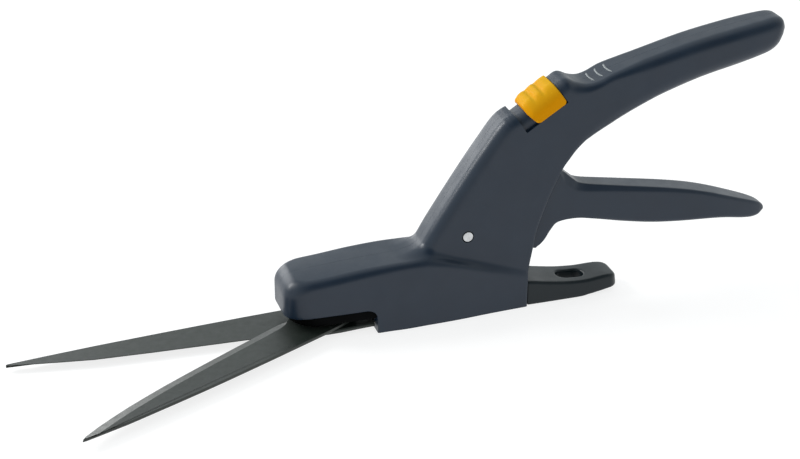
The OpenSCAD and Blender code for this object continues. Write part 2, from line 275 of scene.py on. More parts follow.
def loft(name, rings):
    """A closed skin through rings of points, with a flat cap at each end."""
    n = len(rings[0])
    last = (len(rings) - 1) * n
    faces = [list(range(n))[::-1], [last + k for k in range(n)]]
    for start in range(0, last, n):
        for k in range(n):
            j = (k + 1) % n
            faces.append([start + k, start + j, start + n + j, start + n + k])
    return piece(name, [at for ring in rings for at in ring], faces)


def circle(r, sides=48, turn=0.0):
    """Points round a circle, counter-clockwise."""
    angles = [turn + 2 * math.pi * k / sides for k in range(sides)]
    return [(r * math.cos(a), r * math.sin(a)) for a in angles]


def prism(outline, y0, y1):
    """A side view in X and Z, between two planes of Y, to cut with."""
    outline = np.array(outline, float)
    if np.cross(outline, np.roll(outline, -1, axis=0)).sum() > 0:
        outline = outline[::-1]
    return loft("cutter", [[(x, y, z) for x, z in outline] for y in (y0, y1)])


def block(low, high):
    """A box to cut with."""
    (x0, y0, z0), (x1, y1, z1) = low, high
    return prism([(x0, z0), (x1, z0), (x1, z1), (x0, z1)], y0, y1)


def round_bar(x, z, r, y0, y1):
    """A cylinder along Y to cut with."""
    return prism([(x + u, z + v) for u, v in circle(r)], y0, y1)


def stud(x, y, r, z0, z1, sides=48, turn=0.0):
    """An upright cylinder to cut with."""
    ring = [(x + u, y + v) for u, v in circle(r, sides, turn)]
    return loft("cutter", [[(u, v, z) for u, v in ring] for z in (z0, z1)])


def turned(name, profile, centre, axis):
    """A part turned about an axis from (radius, height) points."""
    w = Vector(axis)
    u = w.orthogonal().normalized()
    v = w.cross(u)
    return loft(name, [[Vector(centre) + u * a + v * b + w * h for a, b in circle(r)] for r, h in profile])


def tube(name, line, radii, sink):
    """A round rod along a line, sunk a little into what it lies on."""
    rings = []
    last = len(line) - 1
    for i, at in enumerate(line):
        w = (line[min(i + 1, last)] - line[max(i - 1, 0)]).normalized()
        u = w.cross(Vector((0, 0, 1))).normalized()
        v = u.cross(w)
        middle = at - Vector((0, 0, sink))
        rings.append([middle + u * a + v * b for a, b in circle(radii[i], 12)])
    return outward(loft(name, rings))


def outward(obj):
    """Turns every face outwards."""
    bm = bmesh.new()
    bm.from_mesh(obj.data)
    bmesh.ops.recalc_face_normals(bm, faces=bm.faces)
    bm.to_mesh(obj.data)
    bm.free()
    return obj


def settle(obj):
    """Applies an object's modifiers."""
    shown = obj.evaluated_get(bpy.context.evaluated_depsgraph_get())
    mesh = bpy.data.meshes.new_from_object(shown)
    obj.modifiers.clear()
    obj.data = mesh
    return obj


def combine(obj, others, how):
    """Cuts, adds or keeps with other closed meshes, which are then removed."""
    for other in others:
        m = obj.modifiers.new("combine", "BOOLEAN")
        m.operation, m.solver, m.object = how, "MANIFOLD", other
    bpy.context.view_layer.update()
    settle(obj)
    for other in others:
        bpy.data.objects.remove(other)
    return obj


def merged(pieces, name):
    """Several closed pieces as one."""
    pieces[0].name = name
    for other in pieces[1:]:
        combine(pieces[0], [other], "UNION")
    return pieces[0]


def copy_of(obj, name):
    """A second object with its own mesh."""
    made = obj.copy()
    made.data = obj.data.copy()
    made.name = name
    bpy.context.scene.collection.objects.link(made)
    return made


def shade(obj, angle=32):
    """Smooth faces, with edges sharper than the angle in degrees left crisp."""
    same = 0.002 * MM
    bm = bmesh.new()
    bm.from_mesh(obj.data)
    bmesh.ops.remove_doubles(bm, verts=bm.verts, dist=same)
    bmesh.ops.dissolve_degenerate(bm, edges=bm.edges, dist=same)
    limit = math.radians(angle)
    for edge in bm.edges:
        kinds = {f.material_index for f in edge.link_faces}
        edge.smooth = len(edge.link_faces) == 2 and len(kinds) == 1 and edge.calc_face_angle(0) < limit
    for face in bm.faces:
        face.smooth = True
    bm.to_mesh(obj.data)
    bm.free()
    return obj


# ---- outlines, in the CAD frame, millimetres -------------------------------

# Side view of the neck and handle, up the front and along the top
TOP_LINE = [
    (-26, -6), (-24, 4), (-20, 20), (-11.8, 31.2), (-6.2, 40.4), (4.8, 57.2), (14.8, 71.6),
    (23, 81.8), (34, 87.2), (44, 94.4), (48.4, 96.8), (53, 95), (57.5, 94), (62, 94.8),
    (67.4, 97.2), (76, 99.9), (87, 103), (103, 107.1), (120, 110.4), (133, 112.5),
    (139.5, 113.2), (142.6, 112), (144, 108.8),
]
# Back along the handle's underside and down the neck's rear
UNDER_LINE = [
    (143.8, 105.8), (141.9, 101.8), (138.2, 99), (132.4, 97.2), (122.6, 94.8), (107, 91.1),
    (91.6, 86), (81, 81.4), (73, 77.4), (68.4, 74.8), (64.8, 72.8), (62, 71.4), (59.6, 70.2),
    (57.4, 69), (53.8, 66.2), (51, 63.2), (47.4, 58.6), (42.4, 48.2), (37.6, 34.8),
    (35.6, 24.6), (33.6, 12), (33, -6),
]
# Half width of the neck and handle along X
HANDLE_HALF = [
    (-40, 8.7), (-12, 8.7), (16, 8.7), (40, 8.7), (56, 8.8), (70, 9.1), (84, 9.4), (98, 9.7), (112, 9.8),
    (124, 9.7), (133, 9.3), (140, 8.4), (146, 7),
]
# Rounding of the handle's top edges along X, tightest at the thumb rest
CROWN = [(20, 5), (46, 4.6), (56, 2.9), (66, 2.5), (76, 3.6), (90, 4.6), (146, 5)]
# Plan of the nose and body, by half width
BODY_HALF = [
    (-69.2, 6.4), (-68.8, 8.6), (-67.3, 11), (-64.2, 13), (-59, 13.9), (-50, 14), (-37, 14),
    (-22, 13.7), (-12, 13.3), (-4, 12.9), (5, 12.2), (14, 11.2), (24, 10.2), (33, 9.2),
]
BODY_TOP = [
    (-76, 24.2), (-69, 25.2), (-60, 26.2), (-50, 27), (-37, 28.1), (-22, 28.7), (-12, 28.4),
    (-4, 27), (5, 24.4), (14, 21.4), (24, 18.2), (34, 15.1),
]
NOSE_Z = 10.3
CUT_X = -32
WALL = 2.2
# The trigger's cross pin in X and Z, the blade pivot, the return spring and the chassis rivets
PIN = tuple(c / MM for c in JOINTS["trigger_squeeze"]["pos_m"][::2])
PIVOT_X = JOINTS["blade_swing"]["pos_m"][0] / MM
SPRING_X = -7
RIVETS = (-26, -17)
PIVOT_R = 3
RIVET_R = 2
RIVET_HEAD_R = 3.2
SCREWS = [(-39, 18.5), (25, 6), (55, 83.5), (92, 96.5), (122, 103.6)]
SCREW_R = 1.5
# Ends of a cutter along Y that goes right through
THROUGH = (-20, 20)
HOUSING_BOX = (-70, -14.5, -3), (145, 14.5, 114.5)
# The thumb slide's own axes in X and Z: its origin, along the travel towards the handle, and above it
SLIDE_O = np.array([36, 80.3])
ALONG = -np.array(JOINTS["lock_slide"]["axis"][::2])
ABOVE = np.array([-ALONG[1], ALONG[0]])


def on_slide(u, v):
    """X and Z of a place given along and above the slide's travel."""
    return SLIDE_O + u * ALONG + v * ABOVE


def off_slide(points):
    """A side view drawn along and above the slide's travel, in X and Z."""
    return [tuple(on_slide(u, v)) for u, v in points]


# ---- housing ---------------------------------------------------------------

# The neck's recess under the slide, from its front wall to its rear wall
RECESS = [(-5.6, -0.3), (14.75, -0.3), (14.5, 8), (14.3, 16), (-5.6, 16)]
STEM_SLOT = [(-1, 1.6), (9.2, 1.6), (9.2, 9.6), (-1, 9.6)]
# Room for the trigger inside the neck, open to the rear
TRIGGER_WAY = [(14, 23.6), (60, 23.6), (60, 60), (66.5, 74.4), (60, 79), (42, 75), (14, 56)]
SEAM_GAP = 0.03
# The trigger pin's hole, and the well for its clip in the far side
PIN_HOLE_R = 2.5
CLIP_WELL_R = 4.2
CLIP_WELL_Y = 7.4
SCREW_WELL_R = 2.9
RIB_X = (60.4, 64, 67.7)
RIB_END = 4.6


def housing_field(g):
    """The outer form of both half shells together."""
    x, y, z = g.x, np.abs(g.y), g.z
    top, under = spline(TOP_LINE, 5, False), spline(UNDER_LINE, 5, False)
    ring = np.concatenate([top, under])
    side = outline_distance(ring, x, z)
    # the front edge of the neck is softer than the rear one, and the handle is oval
    front = smooth(-5, 5, chain_distance(under, x, z) - chain_distance(top, x, z))
    grip = smooth(44, 66, x)
    r = mix(mix(1.1, 5, front), mix(6.2, curve_at(CROWN, x), front), grip)
    neck = meet(side, y - curve_at(HANDLE_HALF, x), r)
    half = spline(BODY_HALF, 6, False)
    plan = np.concatenate([half, half[::-1] * [1, -1]])
    plan = outline_distance(plan, x, g.y)
    rise = (z - curve_at(BODY_TOP, x)) + 0.9 * (y / 14) ** 2 * smooth(-20, -60, x)
    r = mix(3.4, 6, smooth(-58, -67, x)) - 0.6 * smooth(-40, -10, x)
    body = meet(plan, rise * 0.97, r)
    fillet = mix(7, 2.2, smooth(-22, 4, x + 0 * z))
    form = join(neck, body, fillet)
    # open underside of the nose, its rear corner rounded
    corner = 4
    under_nose = [(-120, -40), (-120, NOSE_Z), (CUT_X - corner, NOSE_Z)]
    for a in np.radians([22, 45, 68, 90]):
        under_nose.append((CUT_X + corner * (math.sin(a) - 1), NOSE_Z + corner * (math.cos(a) - 1)))
    under_nose.append((CUT_X, -40))
    form = meet(form, -outline_distance(under_nose, x, z), 0.5)
    return np.maximum(form, -2 - z)


def housing_hollow():
    """The room inside the shells, clear of the screw bosses and the slide's recess."""
    boss_r, end_x = 3.4, 132
    g = Grid(*HOUSING_BOX, 1.4)
    room = np.maximum(housing_field(g) + WALL, g.x - end_x)
    for x, z in SCREWS:
        room = np.maximum(room, boss_r - np.hypot(g.x - x, g.z - z))
    u = (g.x - SLIDE_O[0]) * ALONG[0] + (g.z - SLIDE_O[1]) * ALONG[1]
    v = (g.x - SLIDE_O[0]) * ABOVE[0] + (g.z - SLIDE_O[1]) * ABOVE[1]
    room = np.maximum(room, -np.maximum(np.abs(u - 5) - 13, 3.8 - v))
    return piece("hollow", *g.surface(room))


def slide_core():
    """What is left of the neck under the slide: a bar along the travel with round shoulders."""
    half, top, r = 7.2, 6, 4.6
    section = [(half, -30), (half, top - r)]
    for a in np.radians(range(10, 90, 10)):
        section.append((half - r + r * math.cos(a), top - r + r * math.sin(a)))
    section.append((half - r, top))
    section += [(-y, v) for y, v in section[::-1]]
    rings = []
    for u in (-30, 30):
        sides = [(y, on_slide(u, v)) for y, v in section]
        rings.append([(x, y, z) for y, (x, z) in sides])
    return outward(loft("core", rings))


def make_housing():
    """The near and far shells and the thumb ribs."""
    g = Grid(*HOUSING_BOX, 0.6)
    form = piece("housing", *g.surface(housing_field(g), housing_field))
    saddle = prism(off_slide(RECESS), *THROUGH)
    combine(saddle, [slide_core()], "DIFFERENCE")
    cutters = [
        housing_hollow(),
        block((-80, -20, -20), (80, 20, 0)),
        block((16, -6.5, -5), (36, 6.5, 11.6)),
        prism(spline(TRIGGER_WAY, 1), -6.4, 6.4),
        saddle,
        prism(off_slide(STEM_SLOT), -2.6, 2.6),
        round_bar(*PIN, PIN_HOLE_R, *THROUGH),
        round_bar(*PIN, CLIP_WELL_R, CLIP_WELL_Y, 20),
    ]
    combine(form, cutters, "DIFFERENCE")
    # three thumb ribs behind the slide, each in two halves at the seam
    skin = BVHTree.FromObject(form, bpy.context.evaluated_depsgraph_get())
    ribs = merged([rib(skin, x, end) for x in RIB_X for end in (-RIB_END, RIB_END)], "thumb_ribs")
    far = copy_of(form, "housing_far_shell")
    form.name = "housing_near_shell"
    combine(form, [block((-90, -40, -10), (170, -SEAM_GAP, 130))], "INTERSECT")
    combine(form, [round_bar(x, z, SCREW_R, -6, 1) for x, z in SCREWS], "DIFFERENCE")
    combine(far, [block((-90, SEAM_GAP, -10), (170, 40, 130))], "INTERSECT")
    wells = [round_bar(x, z, SCREW_WELL_R, 5, 20) for x, z in SCREWS]
    combine(far, wells + [round_bar(x, z, SCREW_R, -1, 6) for x, z in SCREWS], "DIFFERENCE")
    return shade(form), shade(far), shade(ribs, 60)


def rib(skin, x0, end):
    """Half of a fine rounded rib that follows the handle's top, swept back at its end."""
    steps = 10
    line = []
    for y in np.linspace(0.04 * np.sign(end), end, steps + 1):
        x = x0 + 0.03 * y * y
        hit = skin.ray_cast(Vector((x, y, 150)) * MM, Vector((0, 0, -1)))[0]
        line.append(Vector((x, y, hit.z / MM)))
    radii = [0.4 * min(1, 0.3 + 0.3 * (steps - i)) for i in range(steps + 1)]
    return tube("rib", line, radii, 0.1)


# ---- trigger ---------------------------------------------------------------

TRIGGER = [
    (14, 30), (35.6, 24.6), (38.6, 24.8), (42, 27.3), (44.8, 31.4), (47.8, 34.2), (55.6, 34.8),
    (64, 33.4), (77, 30.6), (90, 28.4), (103, 27.2), (120.6, 26.2), (132, 24.4), (137.4, 24),
    (140.8, 24.9), (142.3, 27.1), (139.2, 30.4), (127.2, 34.9), (111.6, 39.9), (96.3, 43.3),
    (74, 47.1), (58.5, 49.9), (54, 52.4), (48.6, 56.8), (44, 56), (34, 45), (14, 41),
]

# Line along the lever that parts its crisp top edges from its round lower ones
LEVER_SPLIT = [
    (0, 44), (44, 47), (58, 42), (80, 38.5), (110, 33.5), (130, 29.6), (141.4, 26.8), (160, 24),
]
LEVER_HALF = [
    (-20, 5.8), (60, 5.8), (112, 5.8), (126, 5.4), (134, 4.6), (139, 3.6), (142.2, 2.4), (150, 1),
]
# Height of the bevel under the lever's top strip along X
BEVEL = [(40, 3.4), (56, 3), (70, 2.3), (90, 1.8), (115, 1.3), (135, 0.9), (150, 0.5)]
# The arm over the return spring, the fork for the lever pin, and the horn that the lock catches
ARM = [(8, 28.8), (-11, 25.4), (-11, 28), (-8, 29.6), (4, 40.4), (8, 40.4)]
FORK = [(2, 24), (2.4, 22), (5.3, 20.8), (8.2, 22), (8.6, 24), (12, 33), (2, 33)]
HORN = [(9, 39), (19.4, 55.6), (21.2, 54.4), (19, 44), (20, 40)]
ARM_HALF = 4
HORN_HALF = 2
LEVER_PIN = (5.28, 24)
LEVER_PIN_R = 1.5
ROOT_HALF = 5.8
BOSS_R = 6.4
BORE_R = 2.45


def make_trigger():
    """The squeeze lever with its boss, spring arm, fork and horn."""
    g = Grid((-11.5, -6, 20), (142.8, 6, 57.5), 0.36)
    x, y, z = g.x, np.abs(g.y), g.z
    side = outline_distance(spline(TRIGGER, 5), x, z)
    top = smooth(-1.5, 1.5, z - curve_at(LEVER_SPLIT, x))
    r = mix(1.9, 0.9, top)
    r = mix(0.6, r, smooth(38, 44, x))
    half = curve_at(LEVER_HALF, x)
    lever = meet(side, y - half, r)
    # a steep bevel sets off the lever's top strip, deeper towards the root
    deep = mix(-2, curve_at(BEVEL, x), top * smooth(44, 50, x))
    lever = meet(lever, 0.5 * (side + deep) + 0.87 * (y - half), 0.3)
    boss = np.maximum(np.hypot(x - PIN[0], z - PIN[1]) - BOSS_R, y - ROOT_HALF)
    web = np.maximum(np.maximum(np.abs(x - 11.5) - 4.5, np.abs(z - 35.6) - 5.6), y - ROOT_HALF)
    arm = meet(outline_distance(ARM, x, z), y - ARM_HALF, 0.5)
    fork = meet(outline_distance(FORK, x, z), np.abs(y - 3.05) - 1.55, 0.3)
    horn = meet(outline_distance(HORN, x, z), y - HORN_HALF, 0.4)
    form = join(lever, np.minimum(boss, web), 1)
    form = np.minimum(np.minimum(form, arm), np.minimum(fork, horn))
    made = piece("trigger_lever", *g.surface(form))
    cutters = [
        round_bar(*PIN, BORE_R, *THROUGH),
        round_bar(*LEVER_PIN, LEVER_PIN_R, *THROUGH),
        block((-1, -1.3, 20), (15, 1.3, 30)),
    ]
    combine(made, cutters, "DIFFERENCE")
    return shade(made)


# ---- chassis and tail ------------------------------------------------------

TAIL_TOP = [
    (20, 10.8), (33, 10.8), (43, 9.2), (52, 7.9), (60, 7.5), (66, 7.9), (70, 8), (75, 7.5), (80, 7),
]
TAIL_LOW = [(20, 0), (54, 0), (62, 0.6), (75, 2.3), (80, 2.9)]
TAIL_HALF = [(20, 8.8), (33.8, 8.8), (56, 8.35), (64, 7.9), (70, 7.3), (80, 5.8)]
TAIL_END = 75.1
# The pad over the blades in Z
PAD = (6.3, 10.2)
PAD_HALF = 13.2
PAD_R = 14.6
# The floor plate inside the housing: its ends in X and its top
FLOOR = (-31.4, 33.2)
FLOOR_TOP = 1.4
# The bridge over the pull bar and the saddle under the spring, half as wide as this
BRIDGE_HALF = 7.8
SPRING_POST_R = 2.2
# The hang slot: its middle in X, half the length of its straight part, and its radius
SLOT_X = 55.3
SLOT_HALF = 2.5
SLOT_R = 3.5


def slab(z, low, high):
    """Everything between two heights."""
    return np.abs(z - (low + high) / 2) - (high - low) / 2


def make_chassis():
    """The pad over the blades, the floor plate and what stands on it, and the tail."""
    g = Grid((-67, -13.6, 0), (75.2, 13.6, 15), 0.5)
    x, y, z = g.x, np.abs(g.y), g.z
    pad = np.maximum(np.hypot(x - PIVOT_X, y) - PAD_R, y - PAD_HALF)
    pad = np.minimum(pad, np.maximum(np.abs(x + 42.1) - 9.9, y - PAD_HALF))
    pad = np.minimum(pad, np.maximum(np.abs(x + 41.7) - 10.3, y - 11.2))
    pad = meet(pad, slab(z, *PAD), 0.5)
    # the floor plate narrows to the rear, with rails along its front half
    width = 11.2 - (x - FLOOR[0]) * 5 / 64.6
    inside = np.maximum(np.maximum(FLOOR[0] - x, x - FLOOR[1]), y - width)
    floor = np.maximum(inside, z - FLOOR_TOP)
    rails = np.maximum(np.maximum(inside, x - SPRING_X), np.maximum(7.6 - y, z - PAD[1]))
    # a bridge over the pull bar, and a saddle on legs with the spring's post
    bridge = np.maximum(np.maximum(np.abs(x + 19.5) - 12.5, y - BRIDGE_HALF), slab(z, *PAD))
    along = np.abs(x - SPRING_X) - 4.8
    saddle = np.maximum(np.maximum(along, y - BRIDGE_HALF), slab(z, 8.3, PAD[1]))
    legs = np.maximum(np.maximum(along, np.abs(y - 7) - 0.8), slab(z, 1, PAD[1]))
    post = np.maximum(np.hypot(x - SPRING_X, y) - SPRING_POST_R, slab(z, 10, 15))
    form = np.minimum.reduce(np.broadcast_arrays(pad, floor, rails, bridge, saddle, legs, post))
    # the tail starts behind the housing, with a tongue that goes in under it
    plan = meet(y - curve_at(TAIL_HALF, x), x - TAIL_END + 0.12 * z, 3.4)
    tail = meet(plan, (z - curve_at(TAIL_TOP, x)) * 0.9, 1.3)
    tail = meet(tail, curve_at(TAIL_LOW, x) - z, 0.8)
    tail = np.maximum(tail, 20 - x)
    tail = np.maximum(tail, np.minimum(33.8 - x, 0.5 * (y - 6.2)))
    form = np.minimum(form, tail)
    slot = np.hypot(np.maximum(np.abs(x - SLOT_X) - SLOT_HALF, 0), y) - SLOT_R
    form = meet(form, -slot, 0.7)
    form = np.maximum(form, -z)
    made = piece("chassis_and_tail", *g.surface(form))
    cutters = [
        block((-58, 3.4, 6.2), (-30, 23.4, 8.2)),
        block((-44, -3.4, 6.2), (1, 3.5, 8.2)),
        stud(PIVOT_X, 0, PIVOT_R, 0, 20),
        round_bar(*SCREWS[1], 3.5, *THROUGH),
    ]
    for x in RIVETS:
        cutters += [stud(x, 0, RIVET_R, -1, 5), stud(x, 0, RIVET_HEAD_R, -1, 0.6)]
    combine(made, cutters, "DIFFERENCE")
    # the pad and what stands on the floor plate are darker
    for face in made.data.polygons:
        at = face.center / MM
        face.material_index = int(at.x < -30.8 or (at.x < 20 and at.z > 1.6))
    return shade(made)


# ---- thumb slide -----------------------------------------------------------

# Height of the thumb slide along its travel, in waves in the middle and plain on the flanks
SLIDE_TOP = [
    (-8, 7.2), (-2, 7.5), (-0.6, 8.2), (1.2, 8.9), (3, 9), (4.4, 8.4), (5.9, 9), (7.6, 9.2),
    (8.8, 8.5), (10.2, 8.9), (12, 9.1), (14, 8.9), (20, 8.8),
]
SLIDE_FLANK = [(-8, 7), (-1.4, 7.2), (1.2, 8.3), (5, 8.6), (12, 8.8), (20, 8.8)]


def make_slide():
    """The thumb slide, hollow over the neck, with its stem through the slot."""
    g = Grid((-2, -9.6, -0.3), (14.9, 9.6, 9.5), 0.22)
    u, y, v = g.x, np.abs(g.y), g.z
    crest = mix(curve_at(SLIDE_TOP, u), curve_at(SLIDE_FLANK, u), smooth(4, 8, y))
    body = meet(v - crest, y - 9.4, 5.8)
    front = -1.35 - u + 0.28 * np.maximum(5.5 - v, 0)
    rear = u - 14.45 + 0.03 * v
    body = meet(body, meet(np.maximum(front, rear), -0.1 - v, 1.5), 0.6)
    room = meet(y - 8, v - 6.15, 4.6)
    form = np.maximum(body, -room)
    stem = meet(np.maximum(np.abs(u - 6.6) - 1.9, y - 2.2), np.abs(v - 4.4) - 2, 0.3)
    points, quads = g.surface(np.minimum(form, stem))
    placed = on_slide(points[:, :1], points[:, 2:])
    return shade(piece("thumb_slide", np.insert(placed, 1, points[:, 1], axis=1), quads))


# ---- blades ----------------------------------------------------------------

# Plan of each blade: X, Y and how far that point of the edge is ground, from 0 to 1
LOWER_PLAN = [
    (-178.6, -2.6, 0.3), (-176, -3.3, 0.7), (-172, -4.1, 0.8), (-158, -6.2, 1), (-145, -8, 1),
    (-122, -8.9, 1), (-100, -9.4, 1), (-80, -9.8, 1), (-67, -10, 1), (-63.5, -10.9, 0.2), (-60, -11.8, 0),
    (-56, -12.3, 0), (-52, -12.5, 0), (-47, -12.3, 0), (-42, -11.7, 0), (-37, -11.1, 0), (-32.4, -10.7, 0),
    (-32.4, -7.2, 0), (-12.8, -7.2, 0), (-12.8, 7.2, 0), (-32.4, 7.2, 0), (-32.4, 10.7, 0), (-42, 11.7, 0),
    (-47, 12.3, 0), (-52, 12.5, 0), (-59, 12.2, 0), (-66, 11.4, 0), (-82, 10, 0), (-100, 8.2, 0),
    (-122, 5.8, 0), (-143, 3.4, 0), (-162, 0.8, 0), (-178, -1.6, 0), (-178.6, -2, 0),
]
# The upper blade lies along +X from its pivot, before it is swung into place
UPPER_PLAN = [
    (127.1, 0.9, 0.2), (126, 1.9, 0.7), (124.1, 2.7, 0.9), (116, 4.3, 1), (108, 5.4, 1), (100, 6.3, 1),
    (90, 7.05, 1), (80, 7.6, 1), (68, 7.95, 1), (56, 8.15, 1), (42, 8.25, 1), (28, 8.35, 1), (19, 8.4, 0.95),
    (15.4, 8.2, 0.75), (12.4, 7.6, 0.25), (10.6, 7, 0), (7.6, 9.8, 0), (4, 11.7, 0), (0, 12.4, 0),
    (-4.6, 11.5, 0), (-8.8, 8.8, 0), (-11.6, 4.4, 0), (-12.4, 0, 0), (-11.8, -3.8, 0), (-10, -7.4, 0),
    (-8.6, -11.2, 0), (-8, -12, 0), (0, -12.4, 0), (9, -12.1, 0), (13, -11.8, 0), (26, -10.9, 0),
    (40, -9.9, 0), (60, -8.3, 0), (72, -7.2, 0), (85, -5.8, 0), (97, -4.4, 0), (108, -3.1, 0),
    (118, -1.4, 0), (125.5, -0.1, 0), (126.9, 0.3, 0),
]
GROUND = 4.5
LAND = 0.25
# Where the upper blade points at rest, and its tang pin about the pivot
SWING = math.radians(33)
TANG_R = 9
TANG_A = math.radians(75)
TANG_PIN_R = 1.5
PIVOT_PLAY = 0.05
# Ends of the holes through the blades in Z
DRILL = (-1, 8)


def blade(name, rows, place, z_edge, z_flat):
    """A flat plate with one long side ground from its edge plane to the other plane."""
    plan = np.array([[a, b] for a, b, _ in rows], float)
    share = np.array([s for _, _, s in rows], float)
    n = len(plan)
    step = np.roll(plan, -1, axis=0) - np.roll(plan, 1, axis=0)
    normal = np.stack([step[:, 1], -step[:, 0]], 1)
    normal /= np.linalg.norm(normal, axis=1)[:, None]
    if np.cross(plan, np.roll(plan, -1, axis=0)).sum() < 0:
        normal = -normal
    up = 1 if z_flat > z_edge else -1
    bare = share > 0.1
    # rings from the edge plane to the flat: the ground side leaves a thin land, the spine a chamfer
    insets = [np.where(bare, 0.15, 0.4), 0 * share, 0 * share, np.where(bare, GROUND * share, 0.05)]
    heights = [
        np.full(n, z_edge),
        z_edge + up * np.where(bare, 0.12, 0.45),
        np.where(bare, z_edge + up * LAND, z_flat - up * 0.05),
        np.full(n, z_flat),
    ]
    rings = [np.column_stack([plan - normal * d[:, None], h]) for d, h in zip(insets, heights)]
    points = place(np.concatenate(rings))
    order = 1 if up > 0 else -1
    if np.cross(points[:n, :2], np.roll(points[:n, :2], -1, axis=0)).sum() < 0:
        order = -order
    faces, ground = [], []
    for k in range(3):
        for i in range(n):
            j = (i + 1) % n
            quad = [k * n + i, k * n + j, (k + 1) * n + j, (k + 1) * n + i]
            faces.append(quad if order > 0 else quad[::-1])
            ground.append(k == 2 and bare[i] and bare[j])
    cap = list(range(n))
    faces.append(cap[::-1] if order > 0 else cap)
    faces.append([3 * n + i for i in (cap if order > 0 else cap[::-1])])
    ground += [False, False]
    made = piece(name, points, faces)
    for face, bright in zip(made.data.polygons, ground):
        face.material_index = int(bright)
    return made


def swung(points):
    """Turns the upper blade from its drawing to its rest place."""
    x, y, z = -points[:, 0], points[:, 1], points[:, 2]
    return np.column_stack([
        PIVOT_X + x * math.cos(SWING) - y * math.sin(SWING),
        x * math.sin(SWING) + y * math.cos(SWING),
        z,
    ])


def make_blades():
    """The lower and upper blades, drilled for the pivot, the tang pin and the rivets."""
    low, high = [corner.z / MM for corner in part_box("lower_blade")]
    lower = blade("lower_blade_plate", LOWER_PLAN, lambda points: points, high, low)
    low, high = [corner.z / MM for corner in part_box("upper_blade")]
    upper = blade("upper_blade_plate", UPPER_PLAN, swung, low, high)
    tang = (PIVOT_X + TANG_R * math.cos(TANG_A), TANG_R * math.sin(TANG_A))
    holes = [stud(PIVOT_X, 0, PIVOT_R + PIVOT_PLAY, *DRILL), stud(*tang, TANG_PIN_R, *DRILL)]
    combine(upper, holes, "DIFFERENCE")
    holes = [stud(PIVOT_X, 0, PIVOT_R, *DRILL)] + [stud(x, 0, RIVET_R, *DRILL) for x in RIVETS]
    combine(lower, holes, "DIFFERENCE")
    return shade(lower, 12), shade(upper, 12)


# ---- turned parts and spring -----------------------------------------------

# Profiles from (radius, height) points
BOLT = [
    (4.9, 0.2), (5.6, 0.45), (6, 0.95), (6, 1.55), (5.9, 1.7), (PIVOT_R, 1.7), (PIVOT_R, 15.2), (2.7, 15.5),
]
CROSS_PIN = [
    (1.85, -8.8), (2.05, -8.72), (2.1, -8.5), (2.1, -7.7), (2.4, -7.5), (2.4, 8.2), (2.1, 8.5),
]
RIVET = [
    (2.6, 0.3), (3.1, 0.4), (RIVET_HEAD_R, 0.6), (RIVET_R, 0.6), (RIVET_R, 3.2), (RIVET_HEAD_R, 3.2),
    (3.1, 3.6), (2.6, 3.9), (1.6, 4.1),
]
SCREW = [
    (0.6, -5.8), (SCREW_R, -4.9), (SCREW_R, 5), (2.7, 5), (2.7, 6.1), (2.5, 6.6), (1.9, 6.9),
]


def make_bolt():
    """The pivot bolt, with a hexagon socket in its head."""
    bolt = turned("pivot_bolt_body", BOLT, (PIVOT_X, 0, 0), (0, 0, 1))
    combine(bolt, [stud(PIVOT_X, 0, 2.1, -1, 1.1, 6, math.pi / 6)], "DIFFERENCE")
    return shade(bolt)


def make_pin():
    """The trigger's cross pin."""
    return shade(turned("trigger_pin_body", CROSS_PIN, (PIN[0], 0, PIN[1]), (0, 1, 0)))


def make_rivets():
    """The rivets that hold the lower blade to the chassis."""
    rivets = [turned("rivet", RIVET, (x, 0, 0), (0, 0, 1)) for x in RIVETS]
    return shade(merged(rivets, "rivets"))


def make_screws():
    """Screws with a cross recess in the head."""
    long, wide = 1.7, 0.3
    screws = []
    for x, z in SCREWS:
        one = turned("screw", SCREW, (x, 0, z), (0, 1, 0))
        bars = [block((x - u, 5.9, z - v), (x + u, 8, z + v)) for u, v in ((long, wide), (wide, long))]
        screws.append(combine(one, bars, "DIFFERENCE"))
    return shade(merged(screws, "shell_screws"))


def make_spring():
    """The trigger's return spring, a round wire with flat end coils."""
    turns, r, wire = 6, 3.1, 0.45
    low, high = 10.65, 25.45
    steps = turns * 40
    rings = []
    for i in range(steps + 1):
        s = i / steps
        a = -s * turns * 2 * math.pi
        height = mix(low, high, mix(s, smooth(0.06, 0.94, s), 0.35))
        ring = [(r + u, height + v) for u, v in circle(wire, 10)]
        rings.append([(SPRING_X + d * math.cos(a), d * math.sin(a), z) for d, z in ring])
    return shade(loft("return_spring_wire", rings), 60)


# ---- materials -------------------------------------------------------------


def nodes_of(name):
    """A new material, its node tree and its shader."""
    m = bpy.data.materials.new(name)
    m.use_nodes = True
    tree = m.node_tree
    return m, tree, tree.nodes["Principled BSDF"]


def noise(tree, scale, detail=3.0, rough=0.5, stretch=(1, 1, 1)):
    """Noise over the piece's own coordinates, scale in features per metre."""
    place = tree.nodes.new("ShaderNodeTexCoord")
    stretched = tree.nodes.new("ShaderNodeMapping")
    stretched.inputs["Scale"].default_value = stretch
    made = tree.nodes.new("ShaderNodeTexNoise")
    made.inputs["Scale"].default_value = scale
    made.inputs["Detail"].default_value = detail
    made.inputs["Roughness"].default_value = rough
    tree.links.new(place.outputs["Object"], stretched.inputs["Vector"])
    tree.links.new(stretched.outputs["Vector"], made.inputs["Vector"])
    return made.outputs["Fac"]


def ramp(tree, value, low, high, a, b):
    """Blends between two values or colours as the input goes from low to high."""
    span = tree.nodes.new("ShaderNodeMapRange")
    span.inputs["From Min"].default_value = low
    span.inputs["From Max"].default_value = high
    tree.links.new(value, span.inputs["Value"])
    if not isinstance(a, tuple):
        span.inputs["To Min"].default_value = a
        span.inputs["To Max"].default_value = b
        return span.outputs["Result"]
    return blended(tree, span.outputs["Result"], a, b)


